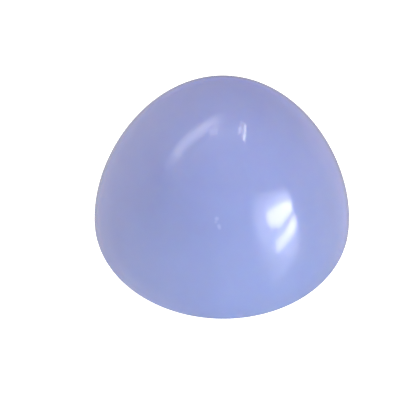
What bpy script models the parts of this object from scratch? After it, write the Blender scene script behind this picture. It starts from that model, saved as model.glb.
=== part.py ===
"""A round, high-domed cabochon of blue chalcedony, cut and polished from one stone.

The stone stands on its flat base. The origin is the middle of the base and +Z is up.
Its whole outside is one curve turned round Z, from the foot of the base to the crown:
a small bevel, a skirt that curves out to the girdle, which is the widest line, and a
dome that is straighter in its flank and tighter at its crown than an ellipse.
"""

import math

import bmesh
import bpy
from mathutils import Matrix, Vector

# Driving dimensions, in metres
GIRDLE_RADIUS = 0.0080
STONE_HEIGHT = 0.01055
GIRDLE_HEIGHT = 0.00056
SKIRT_TUCK = 0.00010
BEVEL_SIZE = 0.00022

# How far the dome's curve departs from an ellipse, where 0 is the ellipse itself
FLANK_TAPER = 0.058
CROWN_TAPER = 0.129

# The part of a circle that the skirt runs through, from the girdle down
SKIRT_SWEEP = math.radians(70)

# Fineness of the facets
TURN_STEPS = 90
DOME_STEPS = 30
SKIRT_STEPS = 3

# Colour and polish of the stone
STONE_COLOUR = (0.33, 0.38, 0.74, 1.0)
POLISH_ROUGHNESS = 0.07
CHALCEDONY_IOR = 1.54


def clear_scene():
    for obj in list(bpy.data.objects):
        bpy.data.objects.remove(obj, do_unlink=True)


def dome_point(turn):
    """A point of the dome's curve, for a turn from 0 at the girdle to a right angle at the crown."""
    across = (math.cos(turn) - FLANK_TAPER * math.cos(3 * turn)) / (1 - FLANK_TAPER)
    rise = (math.sin(turn) - CROWN_TAPER * math.sin(3 * turn)) / (1 + CROWN_TAPER)
    return Vector((
        GIRDLE_RADIUS * across,
        0.0,
        GIRDLE_HEIGHT + (STONE_HEIGHT - GIRDLE_HEIGHT) * rise,
    ))


def skirt_point(share):
    """A point of the skirt, for a share from 0 at the bevel to 1 at the girdle."""
    sweep = SKIRT_SWEEP * (1 - share)
    tuck = SKIRT_TUCK * (1 - math.cos(sweep)) / (1 - math.cos(SKIRT_SWEEP))
    drop = (GIRDLE_HEIGHT - BEVEL_SIZE) * math.sin(sweep) / math.sin(SKIRT_SWEEP)
    return Vector((GIRDLE_RADIUS - tuck, 0.0, GIRDLE_HEIGHT - drop))


def half_section():
    """The outline of half the stone, from the middle of the base out, up and over to the crown."""
    skirt = [skirt_point(step / SKIRT_STEPS) for step in range(SKIRT_STEPS)]
    dome = [dome_point(math.pi / 2 * step / DOME_STEPS) for step in range(DOME_STEPS)]
    foot = Vector((skirt[0].x - BEVEL_SIZE, 0.0, 0.0))
    crown = Vector((0.0, 0.0, STONE_HEIGHT))
    return [Vector((0.0, 0.0, 0.0)), foot, *skirt, *dome, crown]


def turned_mesh(name, outline):
    """The outline turned once round Z, as a closed mesh."""
    bm = bmesh.new()
    verts = [bm.verts.new(point) for point in outline]
    edges = [bm.edges.new(pair) for pair in zip(verts, verts[1:])]
    bmesh.ops.spin(
        bm,
        geom=verts + edges,
        cent=(0.0, 0.0, 0.0),
        axis=(0.0, 0.0, 1.0),
        angle=math.tau,
        steps=TURN_STEPS,
        use_merge=True,
    )
    bmesh.ops.remove_doubles(bm, verts=bm.verts, dist=1e-7)
    bmesh.ops.recalc_face_normals(bm, faces=bm.faces)
    mesh = bpy.data.meshes.new(name)
    bm.to_mesh(mesh)
    bm.free()
    mesh.shade_smooth()
    mesh.set_sharp_from_angle(angle=math.radians(30))
    return mesh


def polished_stone():
    material = bpy.data.materials.new("polished_chalcedony")
    material.use_nodes = True
    shader = material.node_tree.nodes["Principled BSDF"]
    shader.inputs["Base Color"].default_value = STONE_COLOUR
    shader.inputs["Roughness"].default_value = POLISH_ROUGHNESS
    shader.inputs["Metallic"].default_value = 0.0
    shader.inputs["IOR"].default_value = CHALCEDONY_IOR
    return material


def build_cabochon():
    mesh = turned_mesh("cabochon", half_section())
    mesh.materials.append(polished_stone())
    cabochon = bpy.data.objects.new("cabochon", mesh)
    cabochon.matrix_world = Matrix.Identity(4)
    bpy.context.scene.collection.objects.link(cabochon)
    return cabochon


clear_scene()
build_cabochon()
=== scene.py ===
import math

import bmesh
import bpy
from mathutils import Matrix, Vector, noise
from mathutils.bvhtree import BVHTree


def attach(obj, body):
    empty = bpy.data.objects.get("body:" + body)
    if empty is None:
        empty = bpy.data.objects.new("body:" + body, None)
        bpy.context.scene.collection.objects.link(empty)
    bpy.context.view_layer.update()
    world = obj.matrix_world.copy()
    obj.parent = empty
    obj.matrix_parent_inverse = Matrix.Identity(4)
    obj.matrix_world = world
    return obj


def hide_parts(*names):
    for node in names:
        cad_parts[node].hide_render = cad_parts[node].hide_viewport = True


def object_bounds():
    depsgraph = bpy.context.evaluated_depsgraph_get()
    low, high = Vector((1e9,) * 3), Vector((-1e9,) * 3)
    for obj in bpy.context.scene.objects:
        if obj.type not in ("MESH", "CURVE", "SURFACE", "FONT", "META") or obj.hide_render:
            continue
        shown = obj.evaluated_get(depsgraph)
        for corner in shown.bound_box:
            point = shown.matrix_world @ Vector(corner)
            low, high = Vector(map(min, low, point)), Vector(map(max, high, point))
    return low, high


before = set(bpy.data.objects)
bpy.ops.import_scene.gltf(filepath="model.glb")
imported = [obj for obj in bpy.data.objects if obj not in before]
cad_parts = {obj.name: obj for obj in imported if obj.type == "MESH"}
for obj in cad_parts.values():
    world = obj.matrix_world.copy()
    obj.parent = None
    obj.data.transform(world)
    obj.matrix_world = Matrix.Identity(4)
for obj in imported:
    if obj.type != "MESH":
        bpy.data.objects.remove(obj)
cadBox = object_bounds()

mm = 0.001  # the file works in metres, and fine sizes read better in millimetres


# The shader helper: a wire is one output of a node, and sums on wires add Math nodes
class Wire:
    def __init__(self, tree, socket=None):
        self.tree = tree
        self.socket = socket

    def node(self, kind, settings=None, inputs=None, output=0):
        made = self.tree.nodes.new("ShaderNode" + kind)
        for name, value in (settings or {}).items():
            if name == "stops":
                stops = made.color_ramp.elements
                while len(stops) < len(value):
                    stops.new(1.0)
                for stop, (place, colour) in zip(stops, value):
                    stop.position = place
                    stop.color = (*colour, 1.0)
            else:
                setattr(made, name, value)
        for name, value in (inputs or {}).items():
            if isinstance(value, Wire):
                self.tree.links.new(value.socket, made.inputs[name])
            else:
                made.inputs[name].default_value = value
        return Wire(self.tree, made.outputs[output] if made.outputs else None)

    def other(self, output):  # another output of the same node
        return Wire(self.tree, self.socket.node.outputs[output])

    def maths(self, operation, *values):
        return self.node("Math", {"operation": operation}, dict(enumerate(values)))

    def clamped(self):  # kept between 0 and 1
        return self.node("Math", {"operation": "ADD", "use_clamp": True}, {0: self, 1: 0.0})

    def vector(self, operation, inputs, output=0):
        return self.node("VectorMath", {"operation": operation}, inputs, output)

    def step(self, start, end):  # 0 up to start, 1 from end on, eased between
        return self.node(
            "MapRange", {"interpolation_type": "SMOOTHSTEP"},
            {"Value": self, "From Min": start, "From Max": end},
        )

    def blend(self, first, second):  # colours, by this wire as the factor
        return self.node("Mix", {"data_type": "RGBA"}, {0: self, 6: first, 7: second}, output=2)

    def __add__(self, other):
        return self.maths("ADD", self, other)

    __radd__ = __add__

    def __sub__(self, other):
        return self.maths("SUBTRACT", self, other)

    def __rsub__(self, other):
        return self.maths("SUBTRACT", other, self)

    def __mul__(self, other):
        return self.maths("MULTIPLY", self, other)

    __rmul__ = __mul__

    def __truediv__(self, other):
        return self.maths("DIVIDE", self, other)

    def __rtruediv__(self, other):
        return self.maths("DIVIDE", other, self)


def emptyNodes(holder):  # a material or a world, whose nodes are then made from nothing
    holder.use_nodes = True
    holder.node_tree.nodes.clear()
    return Wire(holder.node_tree)


def feed(wires, shader):  # wires by socket name
    for name, wire in wires.items():
        wire.tree.links.new(wire.socket, shader.inputs[name])


def newObject(name, bm, material):
    mesh = bpy.data.meshes.new(name)
    bm.to_mesh(mesh)
    bm.free()
    mesh.materials.append(material)
    made = bpy.data.objects.new(name, mesh)
    bpy.context.scene.collection.objects.link(made)
    return made


# The stone's form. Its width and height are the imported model's
stone = {
    "girdleHeight": 0.56 * mm,
    "skirtTuck": 0.10 * mm,
    "skirtSweep": math.radians(70),
    "bevelSize": 0.22 * mm,
    "flankTaper": 0.058,
    "crownTaper": 0.129,
    "turnSteps": 400,
    "domeSteps": 150,
    "skirtSteps": 10,
    "bevelSteps": 3,
    "baseRings": 24,
    "halvings": 40,              # how often the search for a height on the dome is halved
    "polishDepth": 0.0015 * mm,  # how deep the hand polish dips
    "polishSpan": 2.6 * mm,      # how far apart the dips are
    "polishStart": Vector((3.1, 7.7, 1.9)),
}
lowCorner, highCorner = cadBox
girdleRadius = min(highCorner.x - lowCorner.x, highCorner.y - lowCorner.y) / 2
stoneHeight = highCorner.z - lowCorner.z


def domePoint(turn):  # radius and height, for a turn from 0 at the girdle to a right angle at the crown
    flank, crown = stone["flankTaper"], stone["crownTaper"]
    across = (math.cos(turn) - flank * math.cos(3 * turn)) / (1 - flank)
    rise = (math.sin(turn) - crown * math.sin(3 * turn)) / (1 + crown)
    girdle = stone["girdleHeight"]
    return girdleRadius * across, girdle + (stoneHeight - girdle) * rise


def domeNormal(point):  # the true outward direction at a point on the dome
    low, high = 0.0, math.pi / 2
    for _ in range(stone["halvings"]):
        middle = (low + high) / 2
        if domePoint(middle)[1] < point.z:
            low = middle
        else:
            high = middle
    tiny = 1e-4
    before, after = domePoint(low - tiny), domePoint(low + tiny)
    out = (after[1] - before[1], before[0] - after[0])
    flat = Vector((point.x, point.y, 0.0)).normalized()
    return (flat * out[0] + Vector((0.0, 0.0, out[1]))).normalized()


def skirtPoint(share):  # radius and height, for a share from 0 at the bevel to 1 at the girdle
    full = stone["skirtSweep"]
    sweep = full * (1 - share)
    tuck = stone["skirtTuck"] * (1 - math.cos(sweep)) / (1 - math.cos(full))
    drop = (stone["girdleHeight"] - stone["bevelSize"]) * math.sin(sweep) / math.sin(full)
    return girdleRadius - tuck, stone["girdleHeight"] - drop


def stoneSection():  # from the middle of the base out, up and over to the crown
    skirt = [skirtPoint(step / stone["skirtSteps"]) for step in range(stone["skirtSteps"])]
    edge = skirt[0][0] - stone["bevelSize"]
    base = [(edge * ring / stone["baseRings"], 0.0) for ring in range(stone["baseRings"])]
    rises = [stone["bevelSize"] * step / stone["bevelSteps"] for step in range(stone["bevelSteps"])]
    bevel = [(edge + rise, rise) for rise in rises]
    dome = [domePoint(math.pi / 2 * step / stone["domeSteps"]) for step in range(stone["domeSteps"])]
    crown = [(0.0, stoneHeight)]
    return [Vector((across, 0.0, rise)) for across, rise in base + bevel + skirt + dome + crown]


def spinStone():  # a quarter is spun, and turned into the other three
    bm = bmesh.new()
    verts = [bm.verts.new(point) for point in stoneSection()]
    edges = [bm.edges.new(pair) for pair in zip(verts, verts[1:])]
    bmesh.ops.spin(
        bm, geom=verts + edges, cent=(0, 0, 0), axis=(0, 0, 1),
        angle=math.tau / 4, steps=stone["turnSteps"] // 4, use_merge=False,
    )
    quarter = bm.verts[:] + bm.edges[:] + bm.faces[:]
    for turn in (1, 2, 3):
        copied = bmesh.ops.duplicate(bm, geom=quarter)["geom"]
        corners = [part for part in copied if isinstance(part, bmesh.types.BMVert)]
        turned = Matrix.Rotation(math.tau * turn / 4, 3, "Z")
        bmesh.ops.rotate(bm, verts=corners, cent=(0, 0, 0), matrix=turned)
    bmesh.ops.remove_doubles(bm, verts=bm.verts, dist=1e-7)
    bmesh.ops.recalc_face_normals(bm, faces=bm.faces)
    return bm


# The wheel leaves the dome very slightly uneven, always a little inside the full form
def polishByHand(bm):
    bm.normal_update()
    for vert in bm.verts:
        above = (vert.co.z - stone["bevelSize"]) / stone["girdleHeight"]
        reach = max(0.0, min(1.0, above))
        if reach:
            ripple = noise.noise(vert.co / stone["polishSpan"] + stone["polishStart"])
            vert.co -= vert.normal * stone["polishDepth"] * reach * (ripple + 1) / 2


fullForm = spinStone()
stoneTree = BVHTree.FromBMesh(fullForm)  # the true form, for finding what a pixel of the photograph shows

# The camera. The photograph looks down on the stone from 48 degrees, with a long lens
camera = {
    "elevation": math.radians(48.0),
    "distance": 12 * girdleRadius,
    "roll": math.radians(-1.37),
    "pixelsAcross": 420,
    "pixelsPerRadius": 126.45,  # the stone's radius on the picture, at the distance of its base
    "baseCentreFromMiddle": (11.73, -12.90),  # pixels right and up
    "sensorWidth": 36.0,
    "clip": (5 * mm, 10.0),
}
cameraBack = Vector((0.0, -math.cos(camera["elevation"]), math.sin(camera["elevation"])))
levelRight = Vector((1.0, 0.0, 0.0))
levelUp = cameraBack.cross(levelRight)
rollCos, rollSin = math.cos(camera["roll"]), math.sin(camera["roll"])
cameraRight = levelRight * rollCos - levelUp * rollSin
cameraUp = levelRight * rollSin + levelUp * rollCos
cameraPlace = cameraBack * camera["distance"]
focalPixels = camera["pixelsPerRadius"] * camera["distance"] / girdleRadius


def makeCamera():
    lens = bpy.data.cameras.new("camera")
    lens.sensor_width = camera["sensorWidth"]
    lens.lens = focalPixels / camera["pixelsAcross"] * camera["sensorWidth"]
    right, up = camera["baseCentreFromMiddle"]
    lens.shift_x = -right / camera["pixelsAcross"]
    lens.shift_y = -up / camera["pixelsAcross"]
    lens.clip_start, lens.clip_end = camera["clip"]
    made = bpy.data.objects.new("camera", lens)
    turn = Matrix((cameraRight, cameraUp, cameraBack)).transposed().to_4x4()
    made.matrix_world = Matrix.Translation(cameraPlace) @ turn
    bpy.context.scene.collection.objects.link(made)
    bpy.context.scene.camera = made
    print("camera: lens", round(lens.lens, 1), "mm")


makeCamera()


def sight(pixel):  # the way from the camera through a pixel, and where it meets the stone
    half = camera["pixelsAcross"] / 2
    right, up = camera["baseCentreFromMiddle"]
    ray = (
        -cameraBack * focalPixels
        + cameraRight * (pixel[0] - half - right)
        + cameraUp * (half - pixel[1] - up)
    ).normalized()
    return ray, stoneTree.ray_cast(cameraPlace, ray)[0]


# The colour and polish of the stone
chalcedony = {
    "paintedGlowBlue": (0.308, 0.370, 0.759),      # painted glow: a clearer, brighter blue low on the right of the front, where light shines through the stone
    "greyBlue": (0.302, 0.341, 0.650),       # the greyer blue of the rest, away from the painted glow
    "zoneAlong": (0.64, -0.74, 0.20),        # the way in which the painted glow grows
    "zoneReach": (-0.8 * mm, 7.2 * mm),      # where that starts and ends, from the middle of the base
    "zoneWaver": 3.0 * mm,
    "coolTint": (0.990, 1.014, 1.0),         # painted glow: the front's foot is a little greener, where light glows through low in the stone
    "coolAlong": (0.05, -0.85, -0.5),
    "coolReach": (-1.5 * mm, 3.5 * mm),
    "footTint": (0.995, 1.01, 1.035),        # painted glow: the foot on the right is a little bluer, where light glows through low in the stone
    "footAlong": (0.35, -0.85, -0.4),
    "footReach": (5.0 * mm, 7.8 * mm),
    "warmTint": (1.012, 0.985, 0.99),        # painted light: the back on the right is a little pinker, the warm tint of light that has passed through the stone
    "warmAlong": (0.9, 0.4, 0.1),
    "warmReach": (1.0 * mm, 6.0 * mm),
    "backTint": (1.0, 1.0, 1.035),           # and behind the crown a little bluer
    "backAlong": (0.0, 0.8, 0.6),
    "backReach": (5.6 * mm, 7.6 * mm),
    "skirtTint": (1.0, 0.94, 0.91),          # painted shade: the narrow skirt below the girdle is a little greyer and warmer, a contact shadow painted into its colour
    "skirtShadeReach": (0.20 * mm, 0.62 * mm),
    "cloud": {"Scale": 1 / (5.0 * mm), "Detail": 2.0, "Roughness": 0.5, "Distortion": 0.5},
    "cloudDepth": 0.05,                      # how much lighter the milky clouds are
    "veil": {"Scale": 1 / (1.4 * mm), "Detail": 3.0, "Roughness": 0.6, "Distortion": 1.2},
    "veilDepth": 0.02,
    "polish": 0.05,                          # the roughness of the dome
    "smear": 0.02,                           # and how much rougher it is in the veils
    "groundBase": 0.42,                      # and that of the flat base
    "baseReach": (0.02 * mm, 0.10 * mm),     # the heights over which the base's finish ends
    "lapLines": {"Scale": 900.0, "Detail": 3.0, "Roughness": 0.6},
    "lapStretch": {"Scale": (1.0, 14.0, 1.0), "Rotation": (0, 0, 0.6)},
    "lapDepth": {"Strength": 0.35, "Distance": 0.02 * mm},  # of the lines that grinding leaves on it
    "flecks": (                              # tiny pale specks on the front: pixel, radius and strength
        ((216.8, 218.7), 0.12 * mm, 0.34),
        ((215.8, 222.0), 0.09 * mm, 0.20),
        ((218.9, 225.9), 0.11 * mm, 0.28),
        ((219.5, 228.0), 0.10 * mm, 0.26),
    ),
    "fleckPale": (0.60, 0.66, 1.0),
    "shader": {
        "IOR": 1.54, "Subsurface Weight": 1.0, "Subsurface Scale": 1.1 * mm,
        "Subsurface Radius": (3.0, 1.7, 1.0), "Subsurface Anisotropy": 0.0,
    },
}


def makeChalcedony():
    material = bpy.data.materials.new("polishedChalcedony")
    material.use_nodes = True
    shader = material.node_tree.nodes["Principled BSDF"]
    wires = Wire(material.node_tree)
    place = wires.node("TexCoord", output="Object")
    height = place.node("SeparateXYZ", inputs={0: place}).other("Z")

    def grain(where, facts):
        return place.node("TexNoise", {"noise_dimensions": "3D"}, {"Vector": where, **facts})

    cloud = grain(place, chalcedony["cloud"])
    veil = grain(place, chalcedony["veil"])

    def zone(name):  # 0 to 1 along a direction through the stone, with a wavering edge
        along = place.vector("DOT_PRODUCT", {0: place, 1: chalcedony[name + "Along"]}, "Value")
        return (along + (cloud - 0.5) * chalcedony["zoneWaver"]).step(*chalcedony[name + "Reach"])

    # Painted glow: the colour turns from the greyer blue to a clearer, brighter blue low on the front right,
    # where light shines through the stone
    colour = zone("zone").blend((*chalcedony["greyBlue"], 1.0), (*chalcedony["paintedGlowBlue"], 1.0))
    # The cool, foot and warm tints are painted light shining through the stone, the skirt's is painted shade
    # by the floor, and the back's only makes it bluer
    reaches = {name: zone(name) for name in ("cool", "foot", "warm", "back")}
    # Painted contact shade on the skirt, low by the floor
    reaches["skirt"] = 1 - height.step(*chalcedony["skirtShadeReach"])
    for name, reach in reaches.items():
        tint = reach.blend((1.0, 1.0, 1.0, 1.0), (*chalcedony[name + "Tint"], 1.0))
        colour = colour.vector("MULTIPLY", {0: colour, 1: tint})
    milk = (cloud - 0.5) * (2 * chalcedony["cloudDepth"]) + (veil - 0.5) * (2 * chalcedony["veilDepth"]) + 1.0
    colour = colour.vector("SCALE", {0: colour, "Scale": milk})
    for pixel, radius, strength in chalcedony["flecks"]:
        centre = sight(pixel)[1]
        gap = place.vector("DISTANCE", {0: place, 1: centre}, "Value")
        speck = (1 - gap.step(0.2 * radius, 1.6 * radius)) * strength
        colour = speck.blend(colour, (*chalcedony["fleckPale"], 1.0))
    onBase = 1 - height.step(*chalcedony["baseReach"])
    smear = veil.step(0.35, 0.7) * chalcedony["smear"]
    rough = chalcedony["polish"] + smear + onBase * (chalcedony["groundBase"] - chalcedony["polish"])
    stretched = place.node("Mapping", inputs={"Vector": place, **chalcedony["lapStretch"]})
    lines = grain(stretched, chalcedony["lapLines"]) * onBase
    bump = place.node("Bump", inputs={"Height": lines, **chalcedony["lapDepth"]})
    feed({"Base Color": colour, "Roughness": rough, "Normal": bump}, shader)
    for name, value in chalcedony["shader"].items():
        shader.inputs[name].default_value = value
    return material


def makeStone(bm):
    polishByHand(bm)
    made = newObject("cabochonStone", bm, makeChalcedony())
    made.data.shade_smooth()
    made.data.set_sharp_from_angle(angle=math.radians(25))
    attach(made, "root")
    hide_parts("cabochon")
    print("stone:", len(made.data.polygons), "faces")


makeStone(fullForm)


def mirrored(pixel, away):  # where a light stands so that the stone shows it at a pixel
    ray, hit = sight(pixel)
    return hit + ray.reflect(domeNormal(hit)) * away


# The cards that the polished stone mirrors. Each is a sheet whose every point stands where a pixel of
# its patch looks by reflection, so the patch is drawn on it in pixels
cardsAway = 90 * mm
secondCardsAway = 92 * mm  # the brighter ones, a little behind the first


def makeCard(name, patch, away, cells, colour, shape):
    left, top, right, bottom = patch
    bm = bmesh.new()
    bmesh.ops.create_grid(bm, x_segments=cells, y_segments=cells, size=0.5)
    for vert in bm.verts:
        across, down = vert.co.x + 0.5, 0.5 - vert.co.y
        vert.co = (left + (right - left) * across, top + (bottom - top) * down, 0.0)
    pixels = bm.loops.layers.uv.new("pixels")
    for face in bm.faces:
        for loop in face.loops:
            loop[pixels].uv = loop.vert.co.xy
    for vert in bm.verts:
        vert.co = mirrored(vert.co, away)
    material = bpy.data.materials.new(name)
    wires = emptyNodes(material)
    spot = wires.node("UVMap", {"uv_map": "pixels"})
    x = spot.node("SeparateXYZ", inputs={0: spot})
    y = x.other("Y")
    glow = wires.node("Emission", inputs={"Color": (*colour, 1.0), "Strength": shape(x, y)})
    clear = wires.node("BsdfTransparent")
    both = wires.node("AddShader", inputs={0: glow, 1: clear})
    wires.node("OutputMaterial", inputs={"Surface": both})
    card = newObject(name, bm, material)
    for ray in ("camera", "diffuse", "transmission", "volume_scatter", "shadow"):
        setattr(card, "visible_" + ray, False)


def bar(x, y, start, end, radius, blur):  # a soft bar between two pixels
    sx, sy = start
    dx, dy = end[0] - sx, end[1] - sy
    length = dx * dx + dy * dy
    along = ((x - sx) * (dx / length) + (y - sy) * (dy / length)).clamped()
    offX = x - sx - along * dx
    offY = y - sy - along * dy
    gap = x.maths("SQRT", offX * offX + offY * offY)
    return 1 - gap.step(radius - blur, radius + blur)


def bars(x, y, rows):  # several, each with its strength
    return sum(bar(x, y, *facts) * strength for *facts, strength in rows)


# A convex shape, by its corners clockwise, each with the softness of its next side
def shapeOf(x, y, corners):
    depth = None
    for (ax, ay, soft), (bx, by, _) in zip(corners, corners[1:] + corners[:1]):
        length = math.hypot(bx - ax, by - ay) * soft
        inside = (y - ay) * ((bx - ax) / length) - (x - ax) * ((by - ay) / length)
        depth = inside if depth is None else x.maths("MINIMUM", depth, inside)
    return depth.step(-1.0, 1.0)


# The window, low on the right: a dim pane with a curved right edge, and two bright shapes in it.
# Places and lengths on it are in pixels, and a bar's row is its ends, radius, blur and strength
window = {
    "patch": (236, 178, 306, 286),
    "paneColour": (0.92, 0.96, 1.20),
    "paneGlow": 2.9,
    "paneTop": 1.5,                          # how much brighter the pane is high on its right
    "paneTopFrom": (258, 270),
    "paneTopDownTo": (215, 245),
    "rightmost": (300.0, 238.5),             # the pixel where the pane's right edge bulges most
    "rightLean": (0.11, 0.09),               # how the edge goes in above and below that
    "rightCurve": (0.003, 0.0098),
    "rightBlur": (-3.8, 3.2),
    "rightHaze": (0, 14),                    # a weaker part of the pane ends further out
    "rightHazeShare": 0.16,
    "left": 250,
    "leftLean": (225, 0.7),                  # the row from which the left side leans in, and how much
    "leftBlur": 8,
    "top": 183,
    "topLean": (286, 0.1),                   # the column up to which the top slopes, and how much
    "topBlur": (13, 0.4),                    # how soft it is there, and how much softer to the left
    "low": (245, 290),
    "bloom": [
        ((276, 214), (286, 203), 7, 7, 1.9), ((292, 226), (280, 243), 6, 6, 1.9),
        ((290.5, 238), (286, 250), 4, 5, 1.14),
    ],
    "afterglow": [((273, 278), (285, 269), 3, 7, 0.8)],
    "brightGlow": 6.6,
    "bright": [
        (289.5, 200.8, 1.6), (291.4, 204.0, 1.3), (291.4, 211.0, 2.6), (280.3, 227.0, 3.4),
        (271.2, 227.5, 2.6), (267.0, 221.5, 2.4), (267.0, 212.0, 3.0), (275.0, 205.2, 2.8),
    ],
    "streak": [
        (293.3, 214.6, 2.2), (295.6, 220.5, 2.2), (295.5, 227.0, 2.6), (293.0, 234.5, 2.6),
        (279.5, 251.5, 2.6), (279.5, 241.0, 2.6), (285.9, 230.0, 2.6), (291.8, 216.0, 1.6),
    ],
    "streakFoot": [
        (284.0, 232.0, 3.0), (288.0, 237.0, 3.0), (283.0, 246.5, 2.4), (280.5, 251.8, 2.2),
        (276.3, 252.2, 2.2), (276.0, 246.0, 2.4), (276.3, 240.5, 3.2),
    ],
    "dimmer": [((272, 210), (281, 205), 3, 3, 0.16)],
    "brighterFrom": (275, 288),              # the columns over which the upper one gets brighter
    "brighterBy": 0.25,
    "streakGlow": 1.12,
    "streakFade": (225, 0.017),              # the row from which the streak fades, and how fast
}


def paneShape(x, y):
    edge, middle = window["rightmost"]
    above = x.maths("MAXIMUM", middle - y, 0.0)
    under = x.maths("MAXIMUM", y - middle, 0.0)
    (leanUp, leanDown), (curveUp, curveDown) = window["rightLean"], window["rightCurve"]
    right = edge - above * (above * curveUp + leanUp) - under * (under * curveDown + leanDown)
    haze = window["rightHazeShare"]
    past = x - right
    rightSide = 1 - past.step(*window["rightBlur"]) * (1 - haze) - past.step(*window["rightHaze"]) * haze
    row, lean = window["leftLean"]
    leaning = x.maths("MAXIMUM", y - row, 0.0) * lean
    leftSide = ((x - window["left"]) / (leaning + window["leftBlur"])).step(0.0, 1.0)
    column, slope = window["topLean"]
    blur, moreBlur = window["topBlur"]
    sloping = x.maths("MAXIMUM", column - x, 0.0)
    topSide = ((y - window["top"] - sloping * slope) / (sloping * moreBlur + blur)).step(0.0, 1.0)
    lowSide = 1 - y.step(*window["low"])
    highRight = x.step(*window["paneTopFrom"]) * (1 - y.step(*window["paneTopDownTo"]))
    level = highRight * window["paneTop"] + bars(x, y, window["bloom"]) + window["paneGlow"]
    return rightSide * leftSide * topSide * lowSide * level + bars(x, y, window["afterglow"])


def brightShape(x, y):
    brighter = x.step(*window["brighterFrom"]) * window["brighterBy"] + 1 - bars(x, y, window["dimmer"])
    upper = shapeOf(x, y, window["bright"]) * brighter
    streak = x.maths("MAXIMUM", shapeOf(x, y, window["streak"]), shapeOf(x, y, window["streakFoot"]))
    row, fade = window["streakFade"]
    lower = streak * (window["streakGlow"] - (y - row) * fade)
    return x.maths("MAXIMUM", upper, lower) * window["brightGlow"]


makeCard("paneCard", window["patch"], cardsAway, 40, window["paneColour"], paneShape)
makeCard("brightCard", window["patch"], secondCardsAway, 40, (1.0, 1.0, 1.0), brightShape)

# The arc, high on the left, and the spark beside it
arc = {
    "patch": (156, 106, 262, 186),
    "start": (221.8, 117.8),
    "end": (168.6, 167.6),
    "bow": (23.0, 7.0),                      # how far it bows out, and how much more towards its end
    "width": (0.5, 8.7),
    "glow": 3.1,
    "colour": (1.0, 0.98, 0.98),
    "blobs": [((212.5, 131.5), (215.5, 130.5), 2.6, 1.6, 0.9), ((218, 127), (220, 122), 2.2, 1.8, 0.22)],
    "haze": [((206, 138), (240, 134), 6, 10, 0.22), ((177, 162), (175, 177), 7, 7, 0.17)],
}
spark = {
    "patch": (232, 114, 256, 148),
    "glow": 8.4,
    "colour": (1.0, 0.98, 0.86),
    "upper": [((245.2, 125), (245.3, 131.2), 1.3, 1.0, 1.0)],
    "upperFrom": (126, 130),                 # the rows over which it comes up
    "lower": [((244.3, 134), (244.0, 139.5), 1.65, 1.0, 0.85)],
    "partner": [((240.0, 128), (239.8, 131.5), 2.0, 1.8, 0.48), ((242, 122), (241.5, 124), 1.2, 1.5, 0.35)],
}


def arcShape(x, y):
    startX, startY = arc["start"]
    alongX, alongY = arc["end"][0] - startX, arc["end"][1] - startY
    length = math.hypot(alongX, alongY)
    # How far along the arc a pixel is, from 0 at its start to 1 at its end, and how far off its chord
    share = (x - startX) * (alongX / length ** 2) + (y - startY) * (alongY / length ** 2)
    aside = (x - startX) * (alongY / length) - (y - startY) * (alongX / length)
    bow, skew = arc["bow"]
    middle = share * (1 - share) * (share * skew + bow)
    band = 1 - x.maths("ABSOLUTE", aside + middle).step(*arc["width"])
    ends = share.step(-0.1, 0.2) * (1 - share.step(0.71, 0.92) * 0.75) * (1 - share.step(0.93, 1.12))
    return (band * ends + bars(x, y, arc["blobs"]) + bars(x, y, arc["haze"])) * arc["glow"]


def sparkShape(x, y):
    upper = bars(x, y, spark["upper"]) * (y.step(*spark["upperFrom"]) * 0.4 + 0.6)
    lower = bars(x, y, spark["lower"])
    return (x.maths("MAXIMUM", upper, lower) + bars(x, y, spark["partner"])) * spark["glow"]


makeCard("arcCard", arc["patch"], cardsAway, 40, arc["colour"], arcShape)
makeCard("sparkCard", spark["patch"], secondCardsAway, 12, spark["colour"], sparkShape)
print("cards: made")

# The soft studio light, which the polish doesn't mirror: place, size, power and colour
studio = {
    "top": ((0, 0, 190 * mm), 130 * mm, 0.02, (0.75, 0.75, 1.0)),
    "key": ((120 * mm, -90 * mm, 110 * mm), 120 * mm, 0.1675, (1.0, 0.95, 0.72)),
    "fill": ((-130 * mm, -60 * mm, 80 * mm), 130 * mm, 0.1010, (1.0, 0.94, 0.68)),
    "front": ((0, -160 * mm, 50 * mm), 130 * mm, 0.048, (0.7, 0.9, 1.0)),
}
for name, (place, size, power, colour) in studio.items():
    lamp = bpy.data.lights.new(name, "AREA")
    lamp.shape = "DISK"
    lamp.size = size
    lamp.energy = power
    lamp.color = colour
    lampObject = bpy.data.objects.new(name, lamp)
    lampObject.location = place
    lampObject.rotation_euler = Vector(place).to_track_quat("Z", "Y").to_euler()
    lampObject.visible_glossy = False
    lampObject.visible_camera = False
    bpy.context.scene.collection.objects.link(lampObject)


# The room round the stone, in soft regions
room = {
    "above": (0.61, 0.59, 0.63),
    "leftBack": (0.78, 0.79, 0.86),
    "leftFront": (0.03, 0.02, 0.02),
    "rightBack": (0.44, 0.42, 0.38),
    "rightFront": (0.55, 0.52, 0.47),
    "below": (0.62, 0.61, 0.70),
}
# Below the stone's level, what its polish mirrors is set apart from what lights it
mirroredBelow = {
    "ring": [  # by the turn from the back, 0, over the left, front and right to the back again, 1
        (0.00, (0.52, 0.52, 0.96)), (0.08, (0.60, 0.59, 0.79)), (0.12, (0.69, 0.66, 0.77)),
        (0.20, (0.68, 0.66, 0.81)), (0.33, (0.61, 0.62, 0.80)), (0.41, (0.58, 0.60, 0.78)),
        (0.62, (0.80, 0.94, 1.00)), (0.72, (0.46, 0.53, 0.50)), (0.81, (0.57, 0.60, 0.50)),
        (0.87, (0.73, 0.70, 0.88)), (0.96, (0.52, 0.52, 0.88)), (1.00, (0.52, 0.52, 0.96)),
    ],
    "leftFoot": 0.55,  # how much brighter it is right by the stone's foot on the left
    "grey": (0.40, 0.39, 0.40),  # a patch that the stone's very rim mirrors, brighter towards its sides
    "greyAlong": (0.0, 0.67, -0.74),
    "greyReach": (0.86, 0.93),
}


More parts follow.
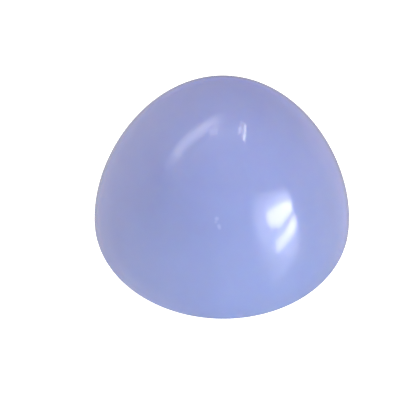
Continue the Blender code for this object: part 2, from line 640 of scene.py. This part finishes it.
def makeRoom():
    world = bpy.data.worlds.new("room")
    wires = emptyNodes(world)
    way = wires.node("TexCoord", output="Generated")
    x = way.node("SeparateXYZ", inputs={0: way})
    y, z = x.other("Y"), x.other("Z")
    colours = {name: (*colour, 1.0) for name, colour in room.items()}
    back = y.step(-0.5, 0.5)
    left = back.blend(colours["leftFront"], colours["leftBack"])
    right = back.blend(colours["rightFront"], colours["rightBack"])
    walls = z.step(0.45, 0.95).blend(x.step(-0.6, 0.6).blend(left, right), colours["above"])
    turn = x.maths("ARCTAN2", x, 0.0 - y) / math.tau + 0.5
    shown = turn.node("ValToRGB", {"stops": mirroredBelow["ring"]}, {0: turn})
    byFoot = (1 - z.step(-0.64, -0.5)) * turn.step(0.17, 0.27) * (1 - turn.step(0.4, 0.47))
    shown = shown.vector("SCALE", {0: shown, "Scale": byFoot * mirroredBelow["leftFoot"] + 1})
    towards = way.vector("DOT_PRODUCT", {0: way, 1: mirroredBelow["greyAlong"]}, "Value")
    brighter = x.maths("ABSOLUTE", x) + 1
    grey = x.vector("SCALE", {0: mirroredBelow["grey"], "Scale": brighter})
    shown = towards.step(*mirroredBelow["greyReach"]).blend(shown, grey)
    rays = wires.node("LightPath", output="Is Camera Ray")
    below = rays.other("Is Glossy Ray").blend(colours["below"], shown)
    around = z.step(-0.35, 0.25).blend(below, walls)
    glow = wires.node("Background", inputs={"Color": rays.blend(around, (1.0, 1.0, 1.0, 1.0))})
    wires.node("OutputWorld", inputs={"Surface": glow})
    bpy.context.scene.world = world


makeRoom()

# The floor is pale paper that the camera sees as pure white, as the photograph's ground is
floor = {"halfWidth": 600 * mm, "gap": 0.02 * mm, "paper": (0.82, 0.82, 0.82), "glow": 0.95}


def makeFloor():
    bm = bmesh.new()
    bmesh.ops.create_grid(bm, x_segments=2, y_segments=2, size=floor["halfWidth"])
    bmesh.ops.translate(bm, verts=bm.verts, vec=(0, 0, -floor["gap"]))
    material = bpy.data.materials.new("floorPaper")
    wires = emptyNodes(material)
    paper = wires.node("BsdfDiffuse", inputs={"Color": (*floor["paper"], 1.0)})
    glow = wires.node("Emission", inputs={"Color": (1, 1, 1, 1), "Strength": floor["glow"]})
    lit = wires.node("AddShader", inputs={0: paper, 1: glow})
    seen = wires.node("LightPath", output="Is Camera Ray")
    both = wires.node("MixShader", inputs={0: seen, 1: paper, 2: lit})
    wires.node("OutputMaterial", inputs={"Surface": both})
    made = newObject("floor", bm, material)
    made.visible_glossy = False


makeFloor()

bpy.context.scene.view_settings.view_transform = "Standard"
bpy.context.scene.view_settings.look = "None"
